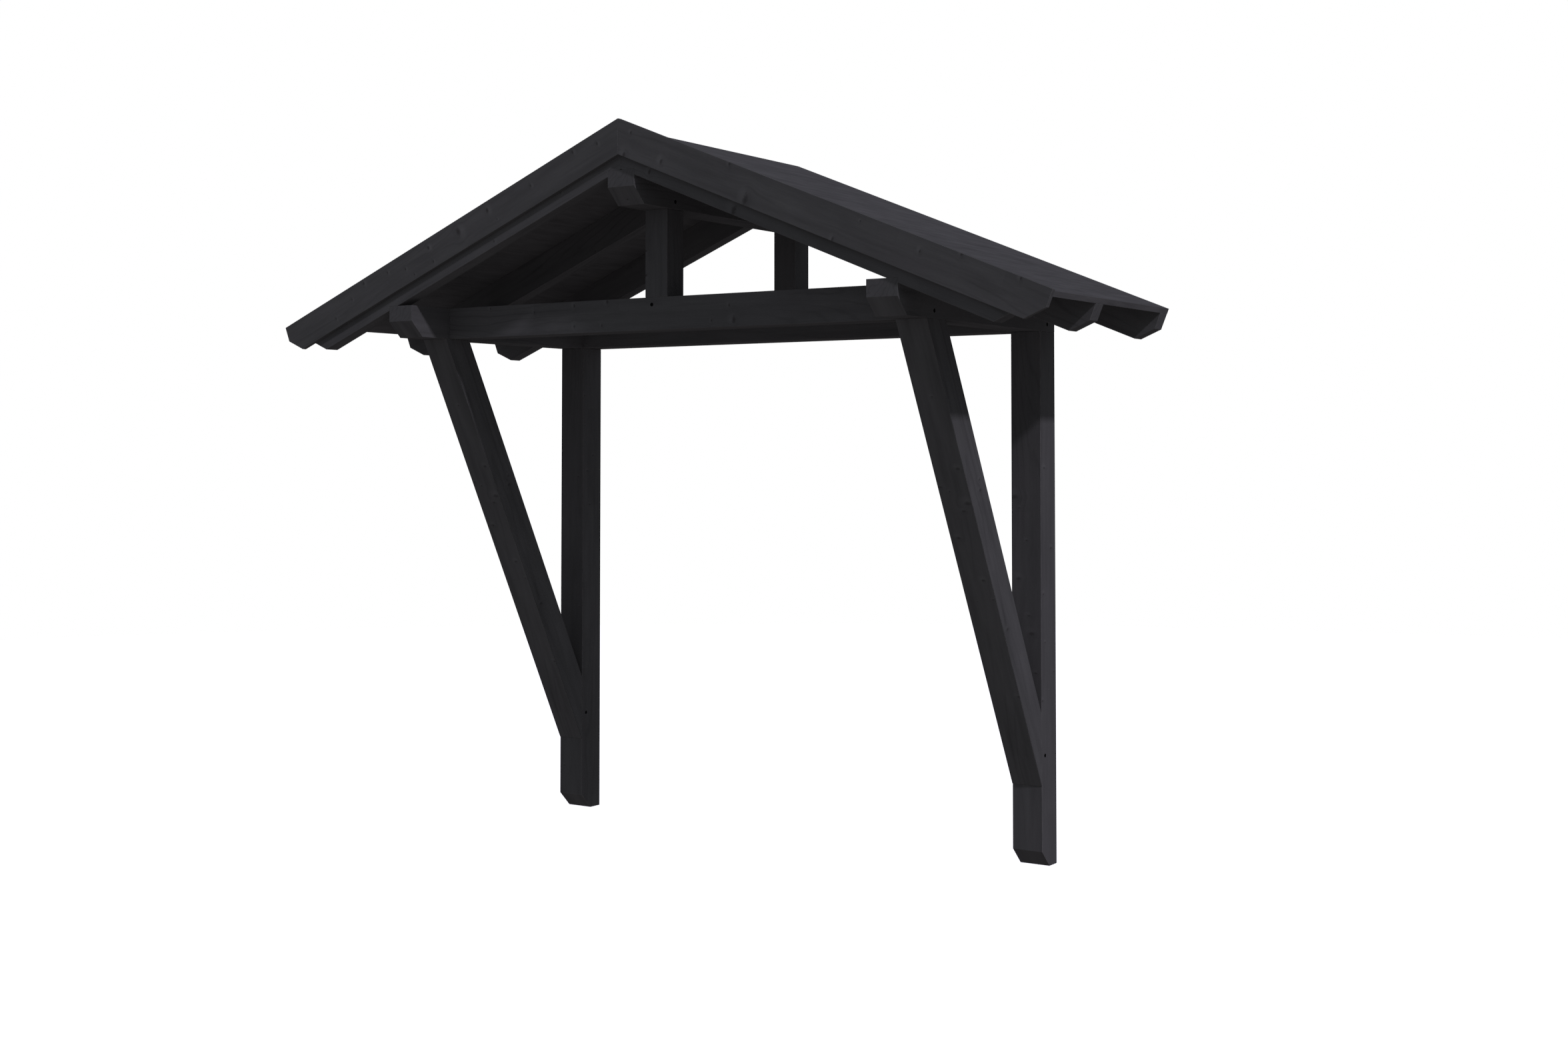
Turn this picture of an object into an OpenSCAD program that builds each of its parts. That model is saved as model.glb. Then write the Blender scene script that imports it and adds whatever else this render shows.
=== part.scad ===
// Wall-hung timber door canopy with a gable roof. Millimetres.
// +X runs to the right, +Y into the wall, +Z up.
// The origin is the centre of the rear tie beam's wall face.

/* [Frame] */
// Width over the outsides of the two wall posts
frame_w = 1714; // [1300:2:2400]
// Length of a wall post, from its foot up to the eave purlin
post_len = 1472; // [1100:1:2000]
// Reach of the purlins out from the wall
reach = 864; // [680:1:1200]
// Side of the square timbers: posts, braces, purlins and tie beams
timber = 90; // [70:1:110]
// Side of the square king posts
king = 75; // [50:1:100]
// Size of the 45 degree cut on the free end of each post, purlin and rafter
end_cut = 45; // [10:1:60]
// Distance from the purlins' front ends back to the front tie beam
tie_inset = 156; // [60:1:200]

/* [Braces] */
// Height of a brace's lower edge above the foot of its post
brace_foot = 221; // [80:1:400]
// Distance from the purlins' front ends back to the front edge of a brace
brace_inset = 141; // [60:1:200]

/* [Roof] */
// Pitch of the roof in degrees
pitch = 22; // [15:1:35]
// Distance that the roof deck overhangs the outside of each wall post
eave_overhang = 341; // [200:1:500]
// Depth of a rafter, square to the slope
rafter_h = 90; // [70:1:140]
// Thickness of a rafter
rafter_t = 45; // [30:1:70]
// Depth of the seats that let the rafters down over the eave purlins
seat_depth = 13; // [5:1:20]
// Depth of the seats that let the rafters down over the ridge purlin
ridge_seat = 16; // [5:1:20]
// Thickness of the roof deck
deck_t = 15; // [10:1:30]

/* [Barge boards] */
// Width of a barge board, square to the slope
barge_h = 90; // [70:1:160]
// Thickness of a barge board
barge_t = 14; // [10:1:30]
// Height of a barge board's top edge above the deck, square to the slope
barge_rise = 20; // [0:1:50]
// Distance that a barge board runs on past the eave, along the slope
barge_overrun = 79; // [20:1:150]

/* [Screw pockets] */
// Diameter of the round pockets that take the screw heads
pocket_d = 10; // [6:1:16]
// Depth of a pocket
pocket_depth = 25; // [10:1:30]
// Distance from a pocket's centre to the edge of its timber
pocket_edge = 20; // [14:1:30]
// Distance that a pocket over a brace or king post stands forward of its middle
pocket_lean = 10; // [0:1:20]
// Height of a post's pockets above the lower edge of its brace
pocket_rise = 84; // [40:1:150]
// Distance from the middle of a tie beam to its pocket, towards the left
pocket_side = 15; // [0:1:25]

/* [Hidden] */
$fn = 48;

half_w = frame_w / 2;
inner_x = half_w - timber;
beam_top = timber / 2;          // top of the eave purlins and tie beams
post_top = -timber / 2;
post_foot = post_top - post_len;
tie_front = tie_inset - reach;      // front face of the front tie beam
brace_front = brace_inset - reach;  // front edge of a brace under its purlin
middle_y = -(reach + rafter_t) / 2; // front face of the middle rafters

// The line under the rafters starts at apex_under on the middle plane and falls with the pitch.
apex_under = beam_top - seat_depth + half_w * tan(pitch);
ridge_top = apex_under - timber / 2 * tan(pitch) + ridge_seat;
ridge_under = ridge_top - timber;
deck_top_up = rafter_h + deck_t;
slope_len = (half_w + eave_overhang - deck_top_up * sin(pitch)) / cos(pitch);
barge_top_up = deck_top_up + barge_rise;

// The brace leans out as it rises: its cuts are longer than the timber's side.
brace_run = -timber - brace_front;
brace_climb = post_len - brace_foot;
brace_len = sqrt(pow(brace_run, 2) + pow(brace_climb, 2));
brace_foot_z = post_foot + brace_foot;
brace_head_w = timber * brace_len / brace_climb;
brace_foot_h = timber * brace_len / brace_run;

post_color = "dimgray";
beam_color = "slategray";
rafter_color = "gray";
board_color = "darkslategray";
overcut = 1;

// Point on the right-hand slope: a distance down the slope, and a height square to it,
// both counted from the line under the rafters.
function on_slope(along, up) =
    [along * cos(pitch) + up * sin(pitch), apex_under - along * sin(pitch) + up * cos(pitch)];

// Point on the middle plane at a height square to the slope.
function on_middle(up) = [0, apex_under + up / cos(pitch)];

// Extrudes an outline of Y and Z along X.
module along_x(x0, length)
    translate([x0, 0, 0]) rotate([90, 0, 90]) linear_extrude(length) children();

// Extrudes an outline of X and Z along Y.
module along_y(y0, length)
    translate([0, y0 + length, 0]) rotate([90, 0, 0]) linear_extrude(length) children();

// Puts a right-hand piece on the left, or leaves it where it is.
module on_side(side) mirror([side < 0 ? 1 : 0, 0, 0]) children();

// Round pocket sunk from the face at face_x. The timber lies towards -X of the face,
// or towards +X where into is 1.
module pocket_x(face_x, y, z, into = -1)
    translate([face_x - into * overcut, y, z])
        rotate([0, into * 90, 0]) cylinder(d = pocket_d, h = pocket_depth + overcut);

// Round pocket sunk to the rear from the face at face_y.
module pocket_y(x, face_y, z)
    translate([x, face_y - overcut, z])
        rotate([-90, 0, 0]) cylinder(d = pocket_d, h = pocket_depth + overcut);

// Outline of a beam that leaves the wall: plumb front end, cut away below at 45 degrees.
module beam_outline(under, top)
    polygon([
        [0, under], [0, top], [-reach, top],
        [-reach, under + end_cut], [-reach + end_cut, under],
    ]);

// Outline of a board or rafter on the right-hand slope, plumb at the ridge,
// square at the eave with its lower corner cut away at 45 degrees.
module slope_outline(length, low, high, cut)
    polygon([
        on_middle(low), on_middle(high),
        on_slope(length, high), on_slope(length, low + cut), on_slope(length - cut, low),
    ]);

module wall_post(side) color(post_color) on_side(side)
    difference() {
        along_x(inner_x, timber)
            polygon([
                [0, post_foot], [0, post_top], [-timber, post_top],
                [-timber, post_foot + end_cut], [-timber + end_cut, post_foot],
            ]);
        pocket_x(half_w, pocket_edge - timber, brace_foot_z + pocket_rise);
        pocket_x(inner_x, pocket_edge - timber, brace_foot_z + pocket_rise, into = 1);
    }

module brace(side) color(post_color) on_side(side)
    along_x(inner_x, timber)
        polygon([
            [-timber, brace_foot_z], [-timber, brace_foot_z + brace_foot_h],
            [brace_front + brace_head_w, post_top], [brace_front, post_top],
        ]);

module eave_purlin(side) color(beam_color) on_side(side)
    difference() {
        along_x(inner_x, timber) beam_outline(post_top, beam_top);
        pocket_x(half_w, -timber / 2, post_top + pocket_edge);
        pocket_x(half_w, brace_front + brace_head_w / 2 - pocket_lean, post_top + pocket_edge);
    }

module tie_beam(front_y) color(beam_color)
    difference() {
        translate([-inner_x, front_y, post_top]) cube([2 * inner_x, timber, timber]);
        pocket_y(-pocket_side, front_y, beam_top - pocket_edge);
    }

module king_post(front_y) color(post_color)
    translate([-king / 2, front_y, beam_top]) cube([king, king, ridge_under - beam_top]);

module ridge_purlin() color(beam_color)
    difference() {
        along_x(-timber / 2, timber) beam_outline(ridge_under, ridge_top);
        for (front_y = [tie_front, -king]) {
            y = front_y + king / 2 - pocket_lean;
            pocket_x(timber / 2, y, ridge_under + pocket_edge);
            pocket_x(-timber / 2, y, ridge_under + pocket_edge, into = 1);
        }
    }

// Rafter with a level seat over the eave purlin and another over the ridge purlin.
module rafter(side, front_y) color(rafter_color) on_side(side)
    along_y(front_y, rafter_t)
        difference() {
            slope_outline(slope_len, 0, rafter_h, end_cut);
            translate([inner_x, post_top]) square(timber);
            translate([-overcut, ridge_under]) square([timber / 2 + overcut, timber]);
        }

module roof_deck(side) color(board_color) on_side(side)
    along_y(-reach, reach) slope_outline(slope_len, rafter_h, deck_top_up, 0);

module barge_board(side) color(board_color) on_side(side)
    along_y(-reach - barge_t, barge_t)
        slope_outline(slope_len + barge_overrun, barge_top_up - barge_h, barge_top_up, end_cut);

wall_post(-1);  // wall_post_left
wall_post(1);  // wall_post_right
brace(-1);  // brace_left
brace(1);  // brace_right
eave_purlin(-1);  // eave_purlin_left
eave_purlin(1);  // eave_purlin_right
tie_beam(tie_front);  // tie_beam_front
tie_beam(-timber);  // tie_beam_rear
king_post(tie_front);  // king_post_front
king_post(-king);  // king_post_rear
ridge_purlin();
rafter(-1, -reach);  // rafter_front_left
rafter(1, -reach);  // rafter_front_right
rafter(-1, middle_y);  // rafter_middle_left
rafter(1, middle_y);  // rafter_middle_right
rafter(-1, -rafter_t);  // rafter_rear_left
rafter(1, -rafter_t);  // rafter_rear_right
barge_board(-1);  // barge_board_left
barge_board(1);  // barge_board_right
roof_deck(-1);  // roof_deck_left
roof_deck(1);  // roof_deck_right
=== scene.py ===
import math

import bmesh
import bpy
import numpy as np
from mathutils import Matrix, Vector
from mathutils.geometry import tessellate_polygon


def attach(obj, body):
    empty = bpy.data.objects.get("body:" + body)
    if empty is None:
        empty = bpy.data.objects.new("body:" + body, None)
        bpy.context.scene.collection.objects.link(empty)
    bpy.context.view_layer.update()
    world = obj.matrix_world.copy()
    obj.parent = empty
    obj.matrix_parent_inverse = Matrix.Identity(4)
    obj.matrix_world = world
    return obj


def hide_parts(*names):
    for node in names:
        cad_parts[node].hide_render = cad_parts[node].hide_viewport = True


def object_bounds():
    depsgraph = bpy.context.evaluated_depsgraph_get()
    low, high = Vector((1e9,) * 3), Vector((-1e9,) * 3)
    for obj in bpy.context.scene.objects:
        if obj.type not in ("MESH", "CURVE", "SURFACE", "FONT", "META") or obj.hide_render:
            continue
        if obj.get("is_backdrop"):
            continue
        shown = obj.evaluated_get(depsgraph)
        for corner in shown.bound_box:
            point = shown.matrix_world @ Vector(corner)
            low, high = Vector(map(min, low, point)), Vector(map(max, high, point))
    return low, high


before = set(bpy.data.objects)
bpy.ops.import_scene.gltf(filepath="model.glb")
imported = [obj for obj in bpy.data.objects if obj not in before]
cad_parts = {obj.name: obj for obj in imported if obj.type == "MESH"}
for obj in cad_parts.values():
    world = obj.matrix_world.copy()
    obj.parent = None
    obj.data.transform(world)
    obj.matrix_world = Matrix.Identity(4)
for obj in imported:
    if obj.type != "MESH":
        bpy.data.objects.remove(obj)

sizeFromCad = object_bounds()
print("frame loaded:", len(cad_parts), "timbers")


# Every timber is a prism along X or along Y of the frame. Its outline, seats, cuts and pockets are
# read from the frame's own node. Lengths are in metres.

alongX, alongY = 0, 1
decimals = 5  # places of a metre to which the frame's points are compared
levelGap = 1e-4  # two levels that differ are further apart than this
cornerSine = 1e-3  # a turn with a smaller sine is a straight run
pocketReach = 1.1  # a pocket's own points lie within this many of its radii


def faceRims(nodeName, axis, side):
    # Rims of the flat face that looks along an axis (side -1 is its low end, 1 its high end), longest
    # first, and all the node's points. The edge from i to j of n corners is numbered i n + j. It is on
    # a rim if no triangle of the face runs it from j to i, and rim edges are chained end to end.
    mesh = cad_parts[nodeName].data
    points = np.empty(len(mesh.vertices) * 3)
    mesh.vertices.foreach_get("co", points)
    points = points.reshape(-1, 3)
    triangles = np.empty(len(mesh.loops), int)
    mesh.loops.foreach_get("vertex_index", triangles)
    triangles = triangles.reshape(-1, 3)
    level = points[:, axis].min() if side < 0 else points[:, axis].max()
    onFace = (np.abs(points[triangles][:, :, axis] - level) < 10 ** -decimals).all(1)
    flatPoints = np.round(np.delete(points, axis, 1), decimals)
    corners, index = np.unique(flatPoints, axis=0, return_inverse=True)
    flat = index.reshape(-1)[triangles[onFace]]
    edges = np.concatenate([flat[:, [0, 1]], flat[:, [1, 2]], flat[:, [2, 0]]])
    forward, backward = edges @ (len(corners), 1), edges @ (1, len(corners))
    following = dict(edges[~np.isin(forward, backward)].tolist())
    rims = []
    while following:
        chain = [next(iter(following))]
        while chain[-1] in following:
            chain.append(following.pop(chain[-1]))
        rims.append(corners[chain[:-1]])
    return sorted(rims, key=lambda rim: -np.ptp(rim, axis=0).sum()), points


def turning(outline):
    # Unit directions into and out of each corner, and the sine of the turn between them.
    leaving = np.roll(outline, -1, 0) - outline
    leaving /= np.linalg.norm(leaving, axis=1, keepdims=True)
    arriving = np.roll(leaving, 1, 0)
    return arriving, leaving, arriving[:, 0] * leaving[:, 1] - arriving[:, 1] * leaving[:, 0]


def anticlockwise(outline):
    # Twice the area inside is the sum of x y' - x' y over the edges, and it is positive for an outline
    # that runs anticlockwise.
    x, y = outline.T
    return outline if (x * np.roll(y, -1) - y * np.roll(x, -1)).sum() > 0 else outline[::-1]


def readTimber(nodeName, axis):
    # Outline (corners only), the two levels it runs between, and each pocket as its centre, radius,
    # depth and side. The centre and the radius are the means over the pocket's rim, and the depth is
    # that of the points near the centre that lie between the two levels.
    pockets = []
    for side in (-1, 1):
        rims, points = faceRims(nodeName, axis, side)
        level = points[:, axis]
        low, high = level.min(), level.max()
        for rim in rims[1:]:
            centre = rim.mean(0)
            radius = np.linalg.norm(rim - centre, axis=1).mean()
            near = np.linalg.norm(np.delete(points, axis, 1) - centre, axis=1) < radius * pocketReach
            inner = level[near & (level > low + levelGap) & (level < high - levelGap)]
            pockets.append((centre, radius, inner.min() - low if side < 0 else high - inner.max(), side))
    outline = rims[0]
    outline = outline[np.abs(turning(outline)[2]) > cornerSine]
    return anticlockwise(outline), low, high, pockets


edgeShape = {
    "steps": 3,  # facets round an eased edge
    "outwardCut": 1.3, "inwardCut": 0.15,  # a corner's cut-back, as a share of the eased edge
    "pocketSides": 32, "pocketLip": 0.06, "pocketTip": 0.4,  # lip and tip in radii of the pocket
}


def quadStrip(rings, around, first=0):
    # Four-sided faces between neighbouring rings, each ring closed on itself: point k of ring r is
    # number r around + k.
    ring, spot = np.meshgrid(np.arange(rings - 1), np.arange(around), indexing="ij")
    here, beside = ring * around + spot, ring * around + (spot + 1) % around
    return (np.stack([here, beside, beside + around, here + around], -1).reshape(-1, 4) + first).tolist()


def pocketWall(centre, radius, depth, side, low, high, axis):
    # A circle carried inwards along a short profile: (radius, depth) from a broken lip, down a
    # straight wall, to the cone that the drill point leaves.
    around = edgeShape["pocketSides"]
    turn = np.arange(around) * 2 * math.pi / around
    lip = radius * edgeShape["pocketLip"]
    tip = radius * edgeShape["pocketTip"]
    profile = np.array([(radius + lip, 0), (radius, lip), (radius, depth - lip),
                        (radius - lip, depth), (tip, depth + lip)])
    ring = centre + profile[:, None, :1] * np.stack([np.cos(turn), np.sin(turn)], 1)[None]
    level = low + profile[:, 1] if side < 0 else high - profile[:, 1]
    return np.insert(ring, axis, level[:, None], axis=2).reshape(-1, 3), len(profile), around


def easedPrism(outline, low, high, axis, ease, pockets=(), steps=edgeShape["steps"]):
    # An outline carried from one level to another with every edge eased.
    # A corner is cut back on both sides by a share of ease times the tangent of half its turn. It is
    # the curve p(s) = (1-s)^2 start + 2s(1-s) corner + s^2 end, its inward normal m(s) turning with
    # it. Ring a is p(s) + ease (1 - cos a) m(s) at a depth of ease (1 - sin a): a runs from a quarter
    # turn at the flat face to nothing at the sides, and back at the far face.
    # Wear is sin 2a on the edges of the flat faces and 4s(1-s) on an outward corner, whichever is more.
    # A pocket's points get -1 instead, where shade is painted inside the pocket.
    arriving, leaving, sine = turning(outline)
    cosine = (arriving * leaving).sum(1)
    share = np.where(sine > 0, edgeShape["outwardCut"], edgeShape["inwardCut"])
    cut = share * ease * np.tan(np.arctan2(np.abs(sine), cosine) / 2)
    start, end = outline - arriving * cut[:, None], outline + leaving * cut[:, None]
    s = np.linspace(0, 1, steps + 1)[None, :, None]
    curve = (1 - s) ** 2 * start[:, None] + 2 * s * (1 - s) * outline[:, None] + s ** 2 * end[:, None]
    heading = (1 - s) * arriving[:, None] + s * leaving[:, None]
    heading /= np.linalg.norm(heading, axis=2, keepdims=True)
    curve, heading = curve.reshape(-1, 2), heading.reshape(-1, 2)
    inward = np.stack([-heading[:, 1], heading[:, 0]], 1)
    cornerWear = np.repeat(sine > 0, steps + 1) * np.tile(4 * s.ravel() * (1 - s.ravel()), len(outline))

    a = np.linspace(math.pi / 2, 0, steps + 1)
    depth, drawnIn = ease * (1 - np.sin(a)), ease * (1 - np.cos(a))
    levels = np.concatenate([low + depth, high - depth[::-1]])
    drawnIn = np.concatenate([drawnIn, drawnIn[::-1]])
    rings = np.insert(curve[None] + inward[None] * drawnIn[:, None, None], axis, levels[:, None], axis=2)
    around = len(curve)
    points = [rings.reshape(-1, 3)]
    worn = [np.maximum(np.tile(np.sin(2 * a), 2)[:, None], cornerWear[None]).ravel()]
    faces = quadStrip(len(levels), around)
    ring, spot = np.meshgrid(np.arange(len(levels) - 1), np.arange(around), indexing="ij")
    rounded = ((ring != steps) | (spot % (steps + 1) != steps)).ravel().tolist()
    caps = []
    count = len(points[0])
    for side, endRing in ((-1, 0), (1, len(levels) - 1)):
        rims = [np.arange(around) + endRing * around]
        for centre, radius, pocketDepth, pocketSide in pockets:
            if pocketSide == side:
                wall, wallRings, sides = pocketWall(centre, radius, pocketDepth, side, low, high, axis)
                points.append(wall)
                # Pocket points are marked -1, for painted shade.
                worn.append(np.full(len(wall), -1.0))
                wallFaces = quadStrip(wallRings, sides, count)
                bottom = (np.arange(sides) + count + (wallRings - 1) * sides).tolist()
                faces += [*wallFaces, bottom]
                rounded += [True] * (len(wallFaces) + 1)
                rims.append(np.arange(sides) + count)
                count += len(wall)
        if len(rims) == 1:
            caps.append(rims[0].tolist())
            continue
        everyPoint = np.concatenate(points)
        flat = [[Vector((*np.delete(p, axis), 0)) for p in everyPoint[rim]] for rim in rims]
        order = np.concatenate(rims)
        caps += [order[list(corner)].tolist() for corner in tessellate_polygon(flat)]
    return {"points": np.concatenate(points), "worn": np.concatenate(worn),
            "faces": faces, "rounded": rounded, "caps": caps}


pattern = {
    "sideShift": 0.5,  # metres across the grain between one side of a timber and the next
    "numberShift": 1.7,  # third coordinate of the grain, from one piece number to the next
    "endFacing": 0.8,  # a face whose normal has more than this of the grain's direction is a sawn end
}


def makePiece(name, solids, axes, material, number, replaced):
    # Joins solids into one mesh. The axes are the directions of the grain, the width and the
    # thickness, and a point's place is its dot product with each. Every face corner carries "grain":
    # metres along the grain, metres across the face with a shift for each side of the timber, and a
    # number of its own for each solid. It carries "endGrain", which is 1 on a sawn end. It also
    # carries an attribute that is 1 along the middle of an eased edge, for wear, and -1 inside a pocket,
    # where shade is painted.
    offsets = np.cumsum([0] + [len(solid["points"]) for solid in solids])
    points = np.concatenate([solid["points"] for solid in solids])
    sides, caps = ([[i + offset for i in face] for solid, offset in zip(solids, offsets)
                    for face in solid[kind]] for kind in ("faces", "caps"))
    mesh = bpy.data.meshes.new(name)
    mesh.from_pydata(points, [], sides + caps)
    shell = bmesh.new()
    shell.from_mesh(mesh)
    bmesh.ops.recalc_face_normals(shell, faces=shell.faces)
    shell.to_mesh(mesh)
    shell.free()

    corner = np.empty(len(mesh.loops), int)
    mesh.loops.foreach_get("vertex_index", corner)
    cornerCount = np.empty(len(mesh.polygons), int)
    mesh.polygons.foreach_get("loop_total", cornerCount)
    normals = np.empty(len(mesh.polygons) * 3)
    mesh.polygons.foreach_get("normal", normals)
    facing = np.repeat(normals.reshape(-1, 3) @ axes.T, cornerCount, axis=0)
    rounded = np.zeros(len(mesh.polygons), bool)
    rounded[:len(sides)] = sum((solid["rounded"] for solid in solids), [])
    place = points @ axes.T
    place = (place - place.min(0))[corner]
    onEnd = np.abs(facing[:, 0]) > pattern["endFacing"]
    onWide = np.abs(facing[:, 2]) >= np.abs(facing[:, 1])
    side = np.where(onWide, facing[:, 2] > 0, 2 + (facing[:, 1] > 0))
    across = np.where(onWide, place[:, 1], place[:, 2]) + side * pattern["sideShift"]
    solidOf = np.repeat(np.arange(len(solids)), np.diff(offsets))[corner]
    grain = np.stack([np.where(onEnd, place[:, 1], place[:, 0]), np.where(onEnd, place[:, 2], across),
                      (number + solidOf) * pattern["numberShift"]], 1)
    worn = np.concatenate([solid["worn"] for solid in solids])[corner] * np.repeat(rounded, cornerCount)
    mesh.attributes.new("grain", "FLOAT_VECTOR", "CORNER").data.foreach_set("vector", grain.ravel())
    mesh.attributes.new("endGrain", "FLOAT", "CORNER").data.foreach_set("value", onEnd.astype(float))
    mesh.attributes.new("worn", "FLOAT", "CORNER").data.foreach_set("value", worn)
    mesh.polygons.foreach_set("use_smooth", rounded)
    mesh.materials.append(material)
    piece = bpy.data.objects.new(name, mesh)
    bpy.context.collection.objects.link(piece)
    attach(piece, "root")
    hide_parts(replaced)


def grainDirection(outline, axis, low, high):
    # The direction of the outline's longest edge, turned to point away from the frame's origin: its
    # dot product with the timber's centre is positive. Where that product is nothing, the sum of the
    # direction's own coordinates is positive.
    lengths = np.linalg.norm(np.roll(outline, -1, 0) - outline, axis=1)
    grain = np.insert(turning(outline)[1][lengths.argmax()], axis, 0.0)
    centre = np.insert((outline.min(0) + outline.max(0)) / 2, axis, (low + high) / 2)
    lean = grain @ centre
    if abs(lean) < levelGap:
        lean = grain.sum()
    return -grain if lean < 0 else grain


def makeTimber(nodeName, axis, look, material, number):
    # One timber, named after its node, with the grain along its outline's longest edge.
    outline, low, high, pockets = readTimber(nodeName, axis)
    grain = grainDirection(outline, axis, low, high)
    through = np.eye(3)[axis]
    first, *others = nodeName.split("_")
    makePiece(first + "".join(word.capitalize() for word in others),
              [easedPrism(outline, low, high, axis, look["easedEdge"], pockets)],
              np.stack([grain, np.cross(through, grain), through]), material,
              look["number"] + number, nodeName)


# Stained spruce

def node(tree, kind, inputs=None, **settings):
    # A shader node. Each input is given a value or joined to another node's socket.
    made = tree.nodes.new("ShaderNode" + kind)
    for key, value in settings.items():
        setattr(made, key, value)
    for key, value in (inputs or {}).items():
        if isinstance(value, bpy.types.NodeSocket):
            tree.links.new(value, made.inputs[key])
        else:
            made.inputs[key].default_value = value
    return made


def calc(tree, operation, *values):
    # One step of arithmetic.
    return node(tree, "Math", dict(enumerate(values)), operation=operation).outputs[0]


def vector(tree, operation, *values):
    # One step on vectors. A length comes out as a number.
    made = node(tree, "VectorMath", dict(enumerate(values)), operation=operation)
    return made.outputs["Value"] if operation == "LENGTH" else made.outputs[0]


def smooth(tree, value, low, high):
    # 0 at low, 1 at high and 3t^2 - 2t^3 between. It falls instead of rising where low is the larger.
    inputs = {"Value": value, "From Min": low, "From Max": high}
    return node(tree, "MapRange", inputs, interpolation_type="SMOOTHSTEP").outputs[0]


def noise(tree, place, waves, detail=2.0, roughness=0.5):
    # Soft noise from about -0.3 to 0.3, with so many waves to the metre along and across the grain.
    inputs = {"Vector": vector(tree, "MULTIPLY", place, (*waves, 1)), "Scale": 1.0,
              "Detail": detail, "Roughness": roughness}
    return calc(tree, "SUBTRACT", node(tree, "TexNoise", inputs).outputs[0], 0.5)


def blend(tree, amount, colour, other):
    # The colour, with an amount of the other one in its place.
    return node(tree, "Mix", {0: amount, 6: colour, 7: (*other, 1)}, data_type="RGBA").outputs[2]


def oval(tree, spot, centre, stretch, edge, middle):
    # A soft oval in knot radii: 0 where the stretched distance from its centre is at edge, 1 at middle.
    fromCentre = vector(tree, "SUBTRACT", spot, (*centre, 0))
    distance = vector(tree, "LENGTH", vector(tree, "MULTIPLY", fromCentre, (*stretch, 0)))
    return smooth(tree, distance, edge, middle)


# Waves are counted to the metre, along and across the grain. Pairs such as "plain" or "core" are the
# two values between which a smooth step runs.
spruce = {
    "stain": (0.048, 0.0486, 0.0508), "tint": 0.04, "tintWaves": (3.0, 11.0),
    "roughness": 0.8, "mottleRoughness": 0.18, "knotRoughness": -0.12, "specular": 0.0,
    "bump": 0.5, "bumpDepth": 0.0003,
    "fibreHeight": 0.5, "ringHeight": 0.5, "fleckHeight": 0.3, "knotHeight": -0.3,

    # Rings and the rest of the figure
    "ringsPerMetre": 62.0, "ringLine": 0.17, "ringEdge": 0.62, "straight": 0.5,
    "figure": 0.16, "figureWaves": (1.1, 7.0), "waver": 0.012, "waverWaves": (9.0, 30.0),
    "plain": (-0.14, 0.16), "plainWaves": (2.3, 9.0),
    "streak": 0.30, "streakWaves": (2.6, 55.0), "darkStreak": 0.12, "darkFrom": (0.10, 0.26),
    "mottle": 0.38, "mottleWaves": (6.0, 24.0), "mottleDetail": (3.0, 0.55),
    "cloud": 0.24, "cloudWaves": (2.1, 7.0),
    "fibre": 0.14, "fibreWaves": (24.0, 900.0), "fleck": 0.09, "fleckWaves": (120.0, 330.0),
    "block": 0.07, "blockLength": 0.31, "bandsPerMetre": 21.0, "bandShift": 3.37,

    # Knots, listed and placed by chance
    "knots": [], "knotScale": 1.4, "knotStretch": (1.35, 0.8),
    "knotCell": (0.17, 0.05), "knotScatter": 0.9, "knotShift": (17.3, 5.13),
    "knotShare": 0.12, "knotRadius": (0.001, 0.0025), "knotPush": 0.75, "knotSpread": 12.0,
    "knotColour": (0.014, 0.013, 0.013), "knotDepth": 0.55, "ragged": 1.4, "raggedWaves": (160.0, 220.0),
    "core": (1.5, 0.2), "halo": 0.03, "haloInside": (1.0, 1.5), "haloOutside": (3.4, 1.6),
    # Painted highlight and painted shade on either side of each knot, as on a bump lit from one side
    "fan": 0.11, "paintedKnotLightReach": 20.0,
    "paintedKnotHighlight": ((-1.7, -0.8), (0.7, 0.4), 1.5, 0.2),
    "paintedKnotShade": ((0.9, 0.8), (0.6, 0.3), 1.3, 0.1), "paintedKnotShadeShare": 0.7,

    # Sawn ends, worn edges and painted shade in pockets
    "pith": (-0.02, -0.035), "endRings": 70.0, "endLine": 0.13, "endEdge": 0.6, "endTone": 0.98,
    "endWander": 0.05, "endWaves": (24.0, 24.0),
    "endMottle": 0.22, "endMottleWaves": (60.0, 60.0), "endMottleDetail": 3.0,
    "wornColour": (0.13, 0.122, 0.125), "wear": 0.35, "rubbed": (-0.15, 0.2), "rubbedWaves": (30.0, 60.0),
    # How much darker the painted shade inside a pocket makes the tone
    "pocketShade": 0.85,
}


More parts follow.
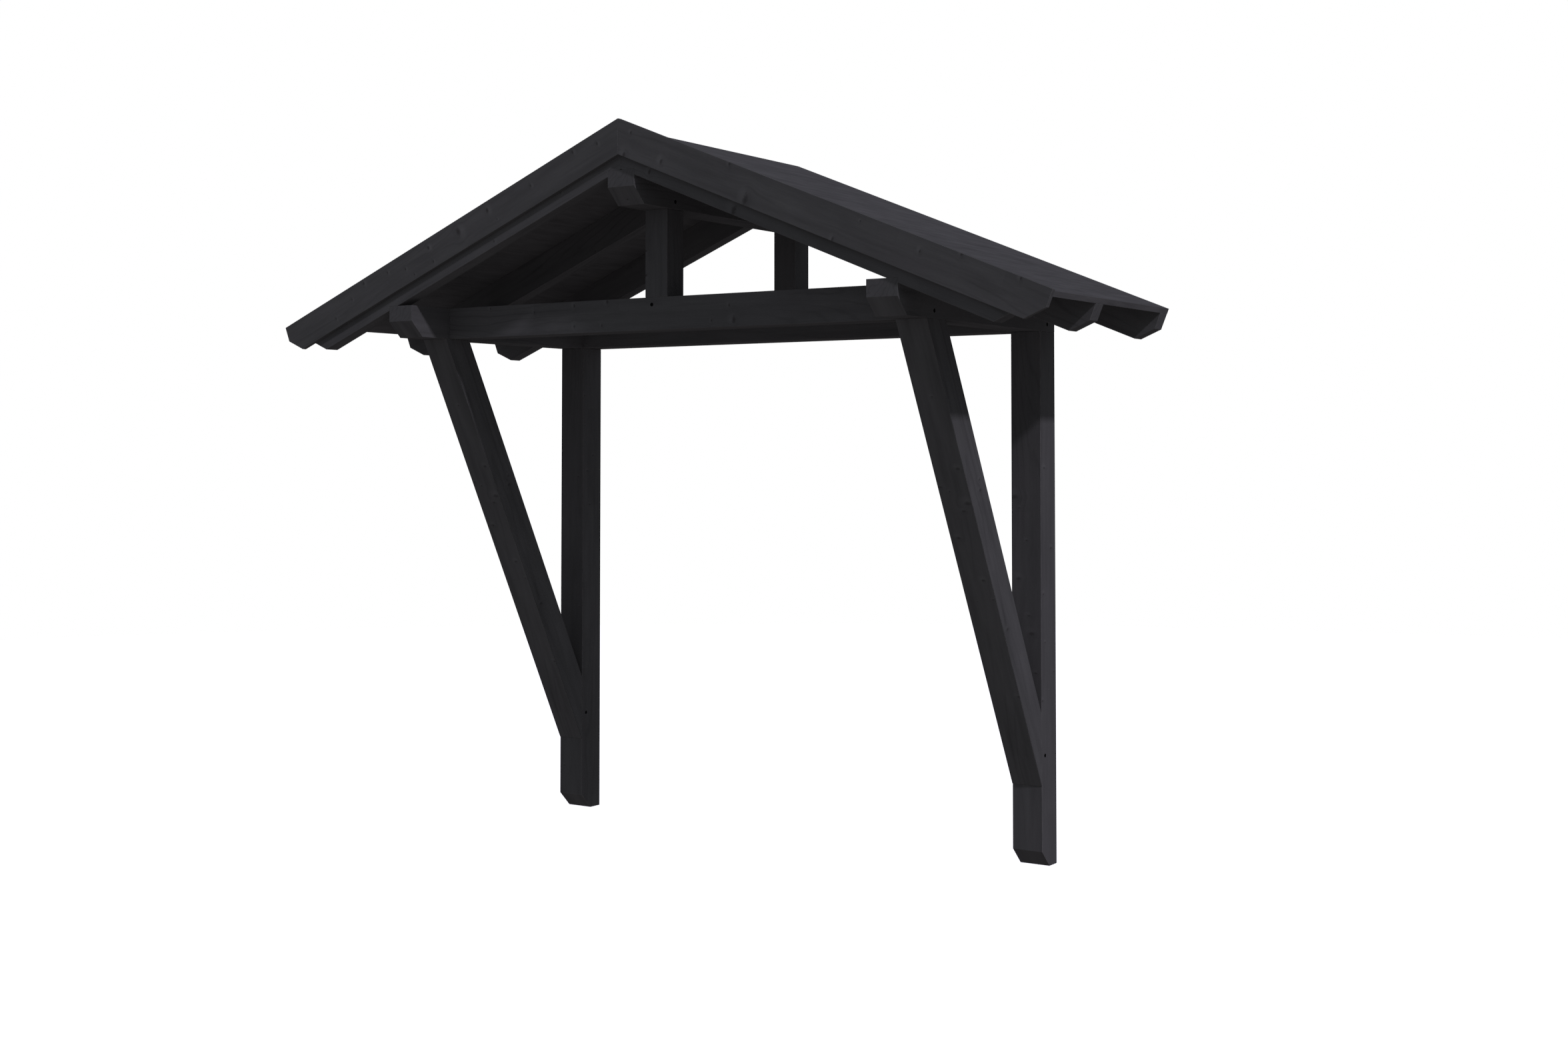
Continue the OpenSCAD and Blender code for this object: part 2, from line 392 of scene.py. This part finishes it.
def nearestKnot(tree, look, grain, along, across, own):
    # How far off the nearest knot is, in its own radii, the offset from its centre, and its radius.
    # Small knots by chance: distance / radius to the nearest cell's own point, if the cell's number is
    # high enough. In the other cells the knot is put out of reach.
    cellLength, cellWidth = look["knotCell"]
    small, large = look["knotRadius"]
    fewest = 1 - look["knotShare"]
    outOfReach = 2.5 * look["paintedKnotLightReach"]
    alongShift, acrossShift = look["knotShift"]
    shifted = node(tree, "CombineXYZ", {
        0: calc(tree, "MULTIPLY_ADD", own, alongShift, along),
        1: calc(tree, "MULTIPLY_ADD", own, acrossShift, across),
    }).outputs[0]
    scaled = vector(tree, "MULTIPLY", shifted, (1 / cellLength, 1 / cellWidth, 1))
    cells = node(tree, "TexVoronoi", {"Vector": scaled, "Scale": 1.0, "Randomness": look["knotScatter"]},
                 voronoi_dimensions="2D")
    chance = node(tree, "SeparateXYZ", {0: cells.outputs["Color"]}).outputs[0]
    centre = vector(tree, "MULTIPLY", cells.outputs["Position"], (cellLength, cellWidth, 0))
    offset = vector(tree, "MULTIPLY", vector(tree, "SUBTRACT", shifted, centre), (1, 1, 0))
    radius = node(tree, "MapRange", {"Value": chance, "From Min": fewest, "From Max": 1.0,
                                     "To Min": small, "To Max": large}).outputs[0]
    missing = calc(tree, "MULTIPLY", calc(tree, "LESS_THAN", chance, fewest), outOfReach)
    nearest = calc(tree, "ADD", calc(tree, "DIVIDE", vector(tree, "LENGTH", offset), radius), missing)

    # Listed knots: metres along, metres across, piece number, radius. The nearest one wins.
    for knotAlong, knotAcross, knotNumber, knotRadius in look["knots"]:
        knotPlace = (knotAlong, knotAcross, knotNumber * pattern["numberShift"])
        fromKnot = vector(tree, "SUBTRACT", grain, knotPlace)
        sliver = vector(tree, "MULTIPLY", fromKnot, (*look["knotStretch"], 1.0))
        knotRadius *= look["knotScale"]
        distance = calc(tree, "DIVIDE", vector(tree, "LENGTH", sliver), knotRadius)
        closer = calc(tree, "LESS_THAN", distance, nearest)
        offset = node(tree, "Mix", {0: closer, 4: offset, 5: fromKnot}, data_type="VECTOR").outputs[1]
        radius = node(tree, "Mix", {0: closer, 2: radius, 3: knotRadius}).outputs[0]
        nearest = calc(tree, "MINIMUM", nearest, distance)
    return nearest, offset, radius


def paintedKnotBump(tree, look, nearest, offset, radius):
    # A painted highlight to one side of a knot, less a painted shade on its other side, as if the knot were
    # a bump lit from one side.
    knotSize = node(tree, "CombineXYZ", {0: radius, 1: radius, 2: 1.0}).outputs[0]
    spot = vector(tree, "DIVIDE", offset, knotSize)
    paintedHighlight = oval(tree, spot, *look["paintedKnotHighlight"])
    paintedShade = calc(tree, "MULTIPLY", oval(tree, spot, *look["paintedKnotShade"]), look["paintedKnotShadeShare"])
    present = calc(tree, "LESS_THAN", nearest, look["paintedKnotLightReach"])
    return calc(tree, "MULTIPLY", calc(tree, "SUBTRACT", paintedHighlight, paintedShade), present)


def ringLines(tree, look, flow, bent):
    # Rings are counted across the face: count = rings x (straight x across + slow wander + waver). A
    # dark line is the crest of |2 fract(count) - 1|, and a slow noise leaves plain stretches.
    wander = calc(tree, "MULTIPLY", noise(tree, flow, look["figureWaves"], 1.0), look["figure"])
    waver = calc(tree, "MULTIPLY", noise(tree, flow, look["waverWaves"]), look["waver"])
    count = calc(tree, "ADD", calc(tree, "MULTIPLY_ADD", bent, look["straight"], wander), waver)
    count = calc(tree, "FRACT", calc(tree, "MULTIPLY", count, look["ringsPerMetre"]))
    crest = calc(tree, "ABSOLUTE", calc(tree, "MULTIPLY_ADD", count, 2.0, -1.0))
    figured = smooth(tree, noise(tree, flow, look["plainWaves"]), *look["plain"])
    return calc(tree, "MULTIPLY", smooth(tree, crest, look["ringEdge"], 1.0), figured)


def blockTone(tree, look, along, across, own):
    # Long timbers are figured in lengths: a length of each band is a little lighter or darker. The
    # band is floor(bands x across + shift x own), and its lengths start at a chance place.
    bandsAcross = calc(tree, "MULTIPLY", across, look["bandsPerMetre"])
    band = calc(tree, "FLOOR", calc(tree, "MULTIPLY_ADD", own, look["bandShift"], bandsAcross))
    shift = node(tree, "TexWhiteNoise", {"W": calc(tree, "ADD", band, own)},
                 noise_dimensions="1D").outputs["Value"]
    lengths = calc(tree, "DIVIDE", along, look["blockLength"])
    length = calc(tree, "FLOOR", calc(tree, "ADD", lengths, shift))
    cell = node(tree, "CombineXYZ", {0: length, 1: band, 2: own}).outputs[0]
    return calc(tree, "SUBTRACT", node(tree, "TexWhiteNoise", {"Vector": cell}).outputs["Value"], 0.5)


def sawnEnd(tree, look, grain):
    # Sawn ends show the rings as arcs round a pith that lies outside the section. A dark arc is the
    # crest of |2 fract(rings x (distance from the pith + wander)) - 1|.
    fromPith = vector(tree, "MULTIPLY", vector(tree, "SUBTRACT", grain, (*look["pith"], 0)), (1, 1, 0))
    fromPith = vector(tree, "LENGTH", fromPith)
    wander = calc(tree, "MULTIPLY", noise(tree, grain, look["endWaves"]), look["endWander"])
    arcs = calc(tree, "MULTIPLY", calc(tree, "ADD", fromPith, wander), look["endRings"])
    arcs = calc(tree, "MULTIPLY_ADD", calc(tree, "FRACT", arcs), 2.0, -1.0)
    arcs = smooth(tree, calc(tree, "ABSOLUTE", arcs), look["endEdge"], 1.0)
    tone = calc(tree, "MULTIPLY_ADD", arcs, -look["endLine"], look["endTone"])
    mottle = noise(tree, grain, look["endMottleWaves"], look["endMottleDetail"])
    return calc(tree, "MULTIPLY_ADD", mottle, look["endMottle"], tone)


def stainedSpruce(name, changes):
    # Colour = stain x tone, where the tone is 1 plus each part of the figure times its strength; one part
    # is a painted highlight and painted shade beside each knot. Painted shade inside the pockets, the
    # hearts of knots and the worn edges are laid over it. A knot pushes the figure aside by
    # push = knotPush x sideways x exp(-(distance in radii)^2 / spread).
    look = {**spruce, **changes}
    material = bpy.data.materials.new(name)
    material.use_nodes = True
    tree = material.node_tree
    tree.nodes.clear()
    grain = node(tree, "Attribute", attribute_name="grain").outputs["Vector"]
    endGrain = node(tree, "Attribute", attribute_name="endGrain").outputs["Fac"]
    worn = node(tree, "Attribute", attribute_name="worn").outputs["Fac"]
    parts = node(tree, "SeparateXYZ", {0: grain})
    along, across, own = parts.outputs[0], parts.outputs[1], parts.outputs[2]

    nearest, offset, radius = nearestKnot(tree, look, grain, along, across, own)
    # A painted highlight and painted shade beside each knot.
    fan = paintedKnotBump(tree, look, nearest, offset, radius)
    spread = calc(tree, "DIVIDE", calc(tree, "POWER", nearest, 2.0), -look["knotSpread"])
    sideways = node(tree, "SeparateXYZ", {0: offset}).outputs[1]
    push = calc(tree, "MULTIPLY", sideways, calc(tree, "EXPONENT", spread))
    push = calc(tree, "MULTIPLY", push, look["knotPush"])
    bent = calc(tree, "SUBTRACT", across, push)
    flow = node(tree, "CombineXYZ", {0: along, 1: bent, 2: own}).outputs[0]

    ring = ringLines(tree, look, flow, bent)
    streak = noise(tree, flow, look["streakWaves"], 1.0)
    darkStreak = smooth(tree, streak, *look["darkFrom"])
    mottle = noise(tree, flow, look["mottleWaves"], *look["mottleDetail"])
    cloud = noise(tree, grain, look["cloudWaves"], 1.0)
    fibre = noise(tree, flow, look["fibreWaves"])
    fleck = noise(tree, flow, look["fleckWaves"], 1.0)
    block = blockTone(tree, look, along, across, own)
    tone = 1.0
    for part, strength in ((darkStreak, -look["darkStreak"]), (mottle, look["mottle"]),
                           (cloud, look["cloud"]), (fibre, look["fibre"]), (streak, look["streak"]),
                           (fleck, look["fleck"]), (block, look["block"]), (ring, -look["ringLine"]),
                           (fan, look["fan"])):
        tone = calc(tree, "MULTIPLY_ADD", part, strength, tone)
    tone = node(tree, "Mix", {0: endGrain, 2: tone, 3: sawnEnd(tree, look, grain)}).outputs[0]
    # Painted shade inside the pockets: the tone drops where the marking is -1.
    tone = calc(tree, "MULTIPLY_ADD", calc(tree, "MINIMUM", worn, 0.0), look["pocketShade"], tone)

    # A knot's ragged heart, and the pale ring round it.
    ragged = calc(tree, "MULTIPLY", noise(tree, grain, look["raggedWaves"]), look["ragged"])
    nearest = calc(tree, "ADD", nearest, ragged)
    core = smooth(tree, nearest, *look["core"])
    core = calc(tree, "MULTIPLY", core, calc(tree, "SUBTRACT", 1.0, endGrain))
    halo = smooth(tree, nearest, *look["haloOutside"])
    halo = calc(tree, "MULTIPLY", smooth(tree, nearest, *look["haloInside"]), halo)
    tone = calc(tree, "MULTIPLY_ADD", halo, look["halo"], tone)

    warm = calc(tree, "MULTIPLY", noise(tree, grain, look["tintWaves"]), look["tint"])
    warm = node(tree, "CombineXYZ", {0: warm, 2: warm}).outputs[0]
    tinted = vector(tree, "MULTIPLY_ADD", warm, look["stain"], look["stain"])
    colour = node(tree, "VectorMath", {0: tinted, 3: tone}, operation="SCALE").outputs[0]
    colour = blend(tree, calc(tree, "MULTIPLY", core, look["knotDepth"]), colour, look["knotColour"])
    rubbed = smooth(tree, noise(tree, grain, look["rubbedWaves"]), *look["rubbed"])
    rubbed = calc(tree, "MULTIPLY", calc(tree, "MULTIPLY", worn, rubbed), look["wear"])
    colour = blend(tree, rubbed, colour, look["wornColour"])

    roughness = calc(tree, "MULTIPLY_ADD", mottle, look["mottleRoughness"], look["roughness"])
    roughness = calc(tree, "MULTIPLY_ADD", core, look["knotRoughness"], roughness)
    height = calc(tree, "MULTIPLY", ring, look["ringHeight"])
    for part, strength in ((fibre, "fibreHeight"), (fleck, "fleckHeight"), (core, "knotHeight")):
        height = calc(tree, "MULTIPLY_ADD", part, look[strength], height)
    bump = node(tree, "Bump", {"Strength": look["bump"], "Distance": look["bumpDepth"], "Height": height})
    shader = node(tree, "BsdfPrincipled", {
        "Base Color": colour, "Roughness": roughness, "Normal": bump.outputs[0],
        "Specular IOR Level": look["specular"],
    })
    tree.links.new(shader.outputs[0], node(tree, "OutputMaterial").inputs["Surface"])
    return material


# A piece's number moves its figure and says which knots are its own. A dictionary gives the number of
# the first piece. The two braces share theirs, and so carry the same knots.
wallPosts = {
    "number": 0, "easedEdge": 0.0015, "stain": (0.0454, 0.0456, 0.0479), "ringLine": 0.1,
    "darkStreak": 0.08, "knotDepth": 0.42,
    "knots": [
        (0.412, 1.071, 0, 0.0020), (0.470, 1.002, 0, 0.0030), (0.344, 0.550, 0, 0.0020),
        (0.394, 0.522, 0, 0.0025), (0.248, 0.510, 0, 0.0015), (0.502, 0.534, 0, 0.0020),
        (0.458, 1.008, 1, 0.0055), (0.578, 1.046, 1, 0.0020), (0.684, 1.021, 1, 0.0040),
        (0.785, 1.052, 1, 0.0025), (0.834, 1.061, 1, 0.0045), (0.941, 1.072, 1, 0.0025),
        (0.378, 0.521, 1, 0.0030), (0.600, 0.562, 1, 0.0030), (0.725, 0.514, 1, 0.0028),
        (0.858, 0.522, 1, 0.0020), (0.942, 0.577, 1, 0.0020), (1.017, 0.506, 1, 0.0028),
    ],
}
postTimber = stainedSpruce("postTimber", wallPosts)
for number, side in enumerate(("left", "right")):
    makeTimber("wall_post_" + side, alongX, wallPosts, postTimber, number)
print("wall posts done")

braces = {
    "number": 2, "easedEdge": 0.0009, "stain": (0.048, 0.0486, 0.0508), "ringLine": 0.12,
    "mottle": 0.42, "streak": 0.42, "streakWaves": (4.0, 55.0), "knotDepth": 0.42,
    "knots": [
        (0.523, 1.078, 2, 0.0050), (0.546, 1.060, 2, 0.0030), (0.422, 1.073, 2, 0.0035),
        (0.476, 1.008, 2, 0.0025), (0.626, 1.024, 2, 0.0032), (0.217, 1.050, 2, 0.0020),
        (0.752, 1.067, 2, 0.0030), (0.810, 1.083, 2, 0.0020), (1.110, 1.086, 2, 0.0025),
        (0.486, 0.563, 2, 0.0025), (0.512, 0.554, 2, 0.0030), (0.913, 0.521, 2, 0.0035),
    ],
}
braceTimber = stainedSpruce("braceTimber", braces)
for side in ("left", "right"):
    makeTimber("brace_" + side, alongX, braces, braceTimber, 0)
print("braces done")

eavePurlins = {"number": 4, "easedEdge": 0.0007, "stain": (0.048, 0.0486, 0.0508)}
purlinTimber = stainedSpruce("purlinTimber", eavePurlins)
for number, side in enumerate(("left", "right")):
    makeTimber("eave_purlin_" + side, alongX, eavePurlins, purlinTimber, number)
print("eave purlins done")

tieBeams = {
    "number": 10, "easedEdge": 0.0009, "stain": (0.048, 0.0486, 0.0508), "ringLine": 0.15,
    "ringsPerMetre": 75.0,
    "knots": [
        (1.027, 0.072, 10, 0.0050), (0.477, 0.012, 10, 0.0028), (0.329, 0.025, 10, 0.0020),
        (0.477, 0.071, 10, 0.0025), (0.577, 0.071, 10, 0.0022), (1.012, 0.032, 10, 0.0022),
        (0.954, 0.071, 10, 0.0020), (0.162, 0.008, 10, 0.0022), (0.596, 0.006, 10, 0.0035),
    ],
}
tieTimber = stainedSpruce("tieTimber", tieBeams)
for number, row in enumerate(("front", "rear")):
    makeTimber("tie_beam_" + row, alongY, tieBeams, tieTimber, number)
print("tie beams done")

kingPosts = {
    "number": 14, "easedEdge": 0.001, "stain": (0.048, 0.0486, 0.0508), "ringLine": 0.1, "block": 0.03,
    "knots": [(0.128, 1.502, 14, 0.0022), (0.061, 1.502, 14, 0.0030)],
}
kingTimber = stainedSpruce("kingTimber", kingPosts)
for number, row in enumerate(("front", "rear")):
    makeTimber("king_post_" + row, alongX, kingPosts, kingTimber, number)
print("king posts done")

ridgePurlin = {"number": 16, "easedEdge": 0.0006, "stain": (0.048, 0.0486, 0.0508)}
ridgeTimber = stainedSpruce("ridgeTimber", ridgePurlin)
makeTimber("ridge_purlin", alongX, ridgePurlin, ridgeTimber, 0)
print("ridge purlin done")

rafters = {
    "number": 20, "easedEdge": 0.001, "stain": (0.048, 0.0486, 0.0508),
    "knots": [
        (0.248, 0.034, 20, 0.0020), (0.517, 0.014, 20, 0.0025),
        (0.131, 0.068, 21, 0.0040), (0.430, 0.078, 21, 0.0065),
    ],
}
rafterTimber = stainedSpruce("rafterTimber", rafters)
for number, place in enumerate(("front_left", "front_right", "middle_left", "middle_right",
                                "rear_left", "rear_right")):
    makeTimber("rafter_" + place, alongY, rafters, rafterTimber, number)
print("rafters done")

bargeBoards = {
    "number": 31, "easedEdge": 0.0008, "stain": (0.0462, 0.0469, 0.0484), "ringLine": 0.12,
    # Stronger painted highlight and painted shade beside the knots.
    "mottle": 0.45, "cloud": 0.14, "fan": 0.17,
    "knots": [
        (0.6325, 0.055, 31, 0.0065), (0.5115, 0.063, 31, 0.0040), (0.7545, 0.063, 31, 0.0035),
        (0.3425, 0.058, 31, 0.0025), (0.1735, 0.076, 31, 0.0028), (0.0885, 0.059, 31, 0.0025),
        (0.9275, 0.065, 31, 0.0022), (1.0275, 0.076, 31, 0.0030), (1.1695, 0.026, 31, 0.0020),
        (1.0885, 0.052, 31, 0.0020), (0.8585, 0.044, 31, 0.0022), (0.7505, 0.018, 31, 0.0020),
        (0.4775, 0.075, 32, 0.0065), (0.1825, 0.065, 32, 0.0040), (0.0565, 0.086, 32, 0.0045),
        (0.3965, 0.005, 32, 0.0028), (0.4735, 0.058, 32, 0.0012), (0.7655, 0.085, 32, 0.0030),
        (1.0125, 0.032, 32, 0.0026), (1.1235, 0.002, 32, 0.0028), (1.2925, 0.005, 32, 0.0026),
        (0.0565, 0.023, 32, 0.0022),
    ],
}
bargeTimber = stainedSpruce("bargeTimber", bargeBoards)
for number, side in enumerate(("left", "right")):
    makeTimber("barge_board_" + side, alongY, bargeBoards, bargeTimber, number)
print("barge boards done")

deckBoards = {
    "numbers": {"left": 40, "right": 60},
    "easedEdge": 0.00015, "edgeSteps": 2, "stain": (0.0491, 0.0493, 0.0518), "ringLine": 0.06,
    "darkStreak": 0.0, "cloud": 0.08, "mottle": 0.42, "tint": 0.02,
    "streak": 0.42, "streakWaves": (9.0, 68.0),
    "width": 0.0985, "gap": 0.0001, "tongueLength": 0.005, "tongueHalf": 0.002,
}
deckTimber = stainedSpruce("deckTimber", deckBoards)


def deckBoardOutline(start, end, uphill, downhill, bottom, top):
    # Across a board, in distance down the slope and height square to it. The groove is on the
    # downhill edge and the tongue on the uphill one; the ridge and eave boards have one plain edge.
    middle = (bottom + top) / 2
    tongue, half, gap = deckBoards["tongueLength"], deckBoards["tongueHalf"], deckBoards["gap"]
    if uphill is None:
        uphill = [(start, top), (start, middle + half), (start - tongue, middle + half),
                  (start - tongue, middle - half), (start, middle - half), (start, bottom)]
    if downhill is None:
        deep, wide = tongue + gap, half + gap
        downhill = [(end, bottom), (end, middle - wide), (end - deep, middle - wide),
                    (end - deep, middle + wide), (end, middle + wide), (end, top)]
    return np.array(uphill + downhill)


def makeDeckBoards(nodeName, name, number):
    # Boards run from the wall to the barge board, side by side down the slope, inside the outline of
    # the plain deck. Their joints are spaced evenly. A corner's distance down the slope and height
    # square to it are its dot products with those two directions, and they give the corner back as
    # distance x slope + height x up.
    outline, low, high, _ = readTimber(nodeName, alongY)
    slope = grainDirection(outline, alongY, low, high)[[0, 2]]
    up = np.array([-slope[1], slope[0]]) * np.sign(slope[0])
    down, height = outline @ slope, outline @ up
    bottom, top = height.min(), height.max()
    ridgeBottom, ridgeTop = down[height < bottom + levelGap].min(), down[height > top - levelGap].min()
    eave = down.max()
    count = round((eave - ridgeBottom) / deckBoards["width"])
    joints = np.linspace(ridgeBottom, eave, count + 1)
    boards = []
    for i in range(count):
        uphill = [(ridgeTop, top), (ridgeBottom, bottom)] if i == 0 else None
        downhill = [(eave, bottom), (eave, top)] if i == count - 1 else None
        profile = deckBoardOutline(joints[i] + deckBoards["gap"] / 2, joints[i + 1] - deckBoards["gap"] / 2,
                                   uphill, downhill, bottom, top) @ np.stack([slope, up])
        boards.append(easedPrism(anticlockwise(profile), low, high, alongY, deckBoards["easedEdge"],
                                 steps=deckBoards["edgeSteps"]))
    makePiece(name, boards, np.stack([(0, -1, 0), np.insert(slope, 1, 0), np.insert(up, 1, 0)]),
              deckTimber, number, nodeName)


for side, number in deckBoards["numbers"].items():
    makeDeckBoards("roof_deck_" + side, "deckBoards" + side.capitalize(), number)
print("deck boards done")


# Floor, light and camera

def seenDirectly(tree):
    # 1 for the rays that show a surface itself: from the camera, a reflection or a clear surface.
    rays = node(tree, "LightPath").outputs
    seen = calc(tree, "ADD", rays["Is Camera Ray"], rays["Is Glossy Ray"])
    return calc(tree, "ADD", seen, rays["Is Transmission Ray"])


floorLook = {
    "belowFeet": 2.0, "radius": 30.0, "corners": 96,
    "paleness": 0.80, "lift": 0.35, "bounce": (0.36, 0.34, 0.315),
}
bpy.ops.mesh.primitive_circle_add(vertices=floorLook["corners"], radius=floorLook["radius"],
                                  fill_type="NGON",
                                  location=(0, 0, sizeFromCad[0].z - floorLook["belowFeet"]))
floor = bpy.context.object
floor.name = "floor"
paleFloor = bpy.data.materials.new("paleFloor")
paleFloor.use_nodes = True
tree = paleFloor.node_tree
tree.nodes.clear()
seen = seenDirectly(tree)
colours = {0: seen, 6: (*floorLook["bounce"], 1), 7: (*[floorLook["paleness"]] * 3, 1)}
colour = node(tree, "Mix", colours, data_type="RGBA").outputs[2]
matt = node(tree, "BsdfDiffuse", {"Color": colour}).outputs[0]
glow = node(tree, "Emission", {"Strength": calc(tree, "MULTIPLY", seen, floorLook["lift"])}).outputs[0]
both = node(tree, "AddShader", {0: matt, 1: glow}).outputs[0]
tree.links.new(both, node(tree, "OutputMaterial").inputs["Surface"])
floor.data.materials.append(paleFloor)
floor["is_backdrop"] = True
print("floor done")

lamp = {
    "towards": (0.735, -0.274, 0.621), "strength": 2.24, "softness": 2.5, "colour": (1.02, 0.955, 1.065),
    "fillTowards": (0.6, -0.65, -0.46), "fillStrength": 0.24, "fillColour": (1.06, 0.98, 0.96),
}


def addSun(name, towards, strength, softness, colour, casts):
    # A sun whose own Z axis points towards where it stands, seen from the frame's origin.
    light = bpy.data.lights.new(name, "SUN")
    light.energy = strength
    light.angle = math.radians(softness)
    light.color = colour
    light.use_shadow = casts
    sun = bpy.data.objects.new(name, light)
    sun.rotation_mode = "QUATERNION"
    sun.rotation_quaternion = Vector(towards).to_track_quat("Z", "Y")
    bpy.context.collection.objects.link(sun)


# The weak fill casts no shadow: it stands for the light that a studio sends back into the roof.
addSun("sun", lamp["towards"], lamp["strength"], lamp["softness"], lamp["colour"], True)
addSun("fill", lamp["fillTowards"], lamp["fillStrength"], lamp["softness"], lamp["fillColour"], False)

sky = {"fill": 0.44, "fillColour": (0.98, 1.02, 1.10), "background": (1.0, 1.0, 1.0)}
studio = bpy.data.worlds.new("studio")
bpy.context.scene.world = studio
studio.use_nodes = True
tree = studio.node_tree
tree.nodes.clear()
fill = node(tree, "Background", {"Color": (*sky["fillColour"], 1), "Strength": sky["fill"]}).outputs[0]
white = node(tree, "Background", {"Color": (*sky["background"], 1), "Strength": 1.0}).outputs[0]
both = node(tree, "MixShader", {0: seenDirectly(tree), 1: fill, 2: white}).outputs[0]
tree.links.new(both, node(tree, "OutputWorld").inputs["Surface"])
print("light done")

view = {
    "place": (3.2596, -4.9595, -0.3812), "tilt": 91.992, "turn": 33.536,
    "lens": 44.93, "sensor": 36.0, "shiftX": -0.00422, "shiftY": -0.08788,
}
cameraLens = bpy.data.cameras.new("camera")
cameraLens.lens = view["lens"]
cameraLens.sensor_width = view["sensor"]
cameraLens.shift_x, cameraLens.shift_y = view["shiftX"], view["shiftY"]
camera = bpy.data.objects.new("camera", cameraLens)
camera.location = view["place"]
camera.rotation_euler = (math.radians(view["tilt"]), 0.0, math.radians(view["turn"]))
bpy.context.collection.objects.link(camera)
bpy.context.scene.camera = camera
bpy.context.scene.view_settings.view_transform = "Standard"
print("camera done")

sizes = {"cad": sizeFromCad, "visual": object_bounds()}
sizes = {key: [list(corner) for corner in corners] for key, corners in sizes.items()}
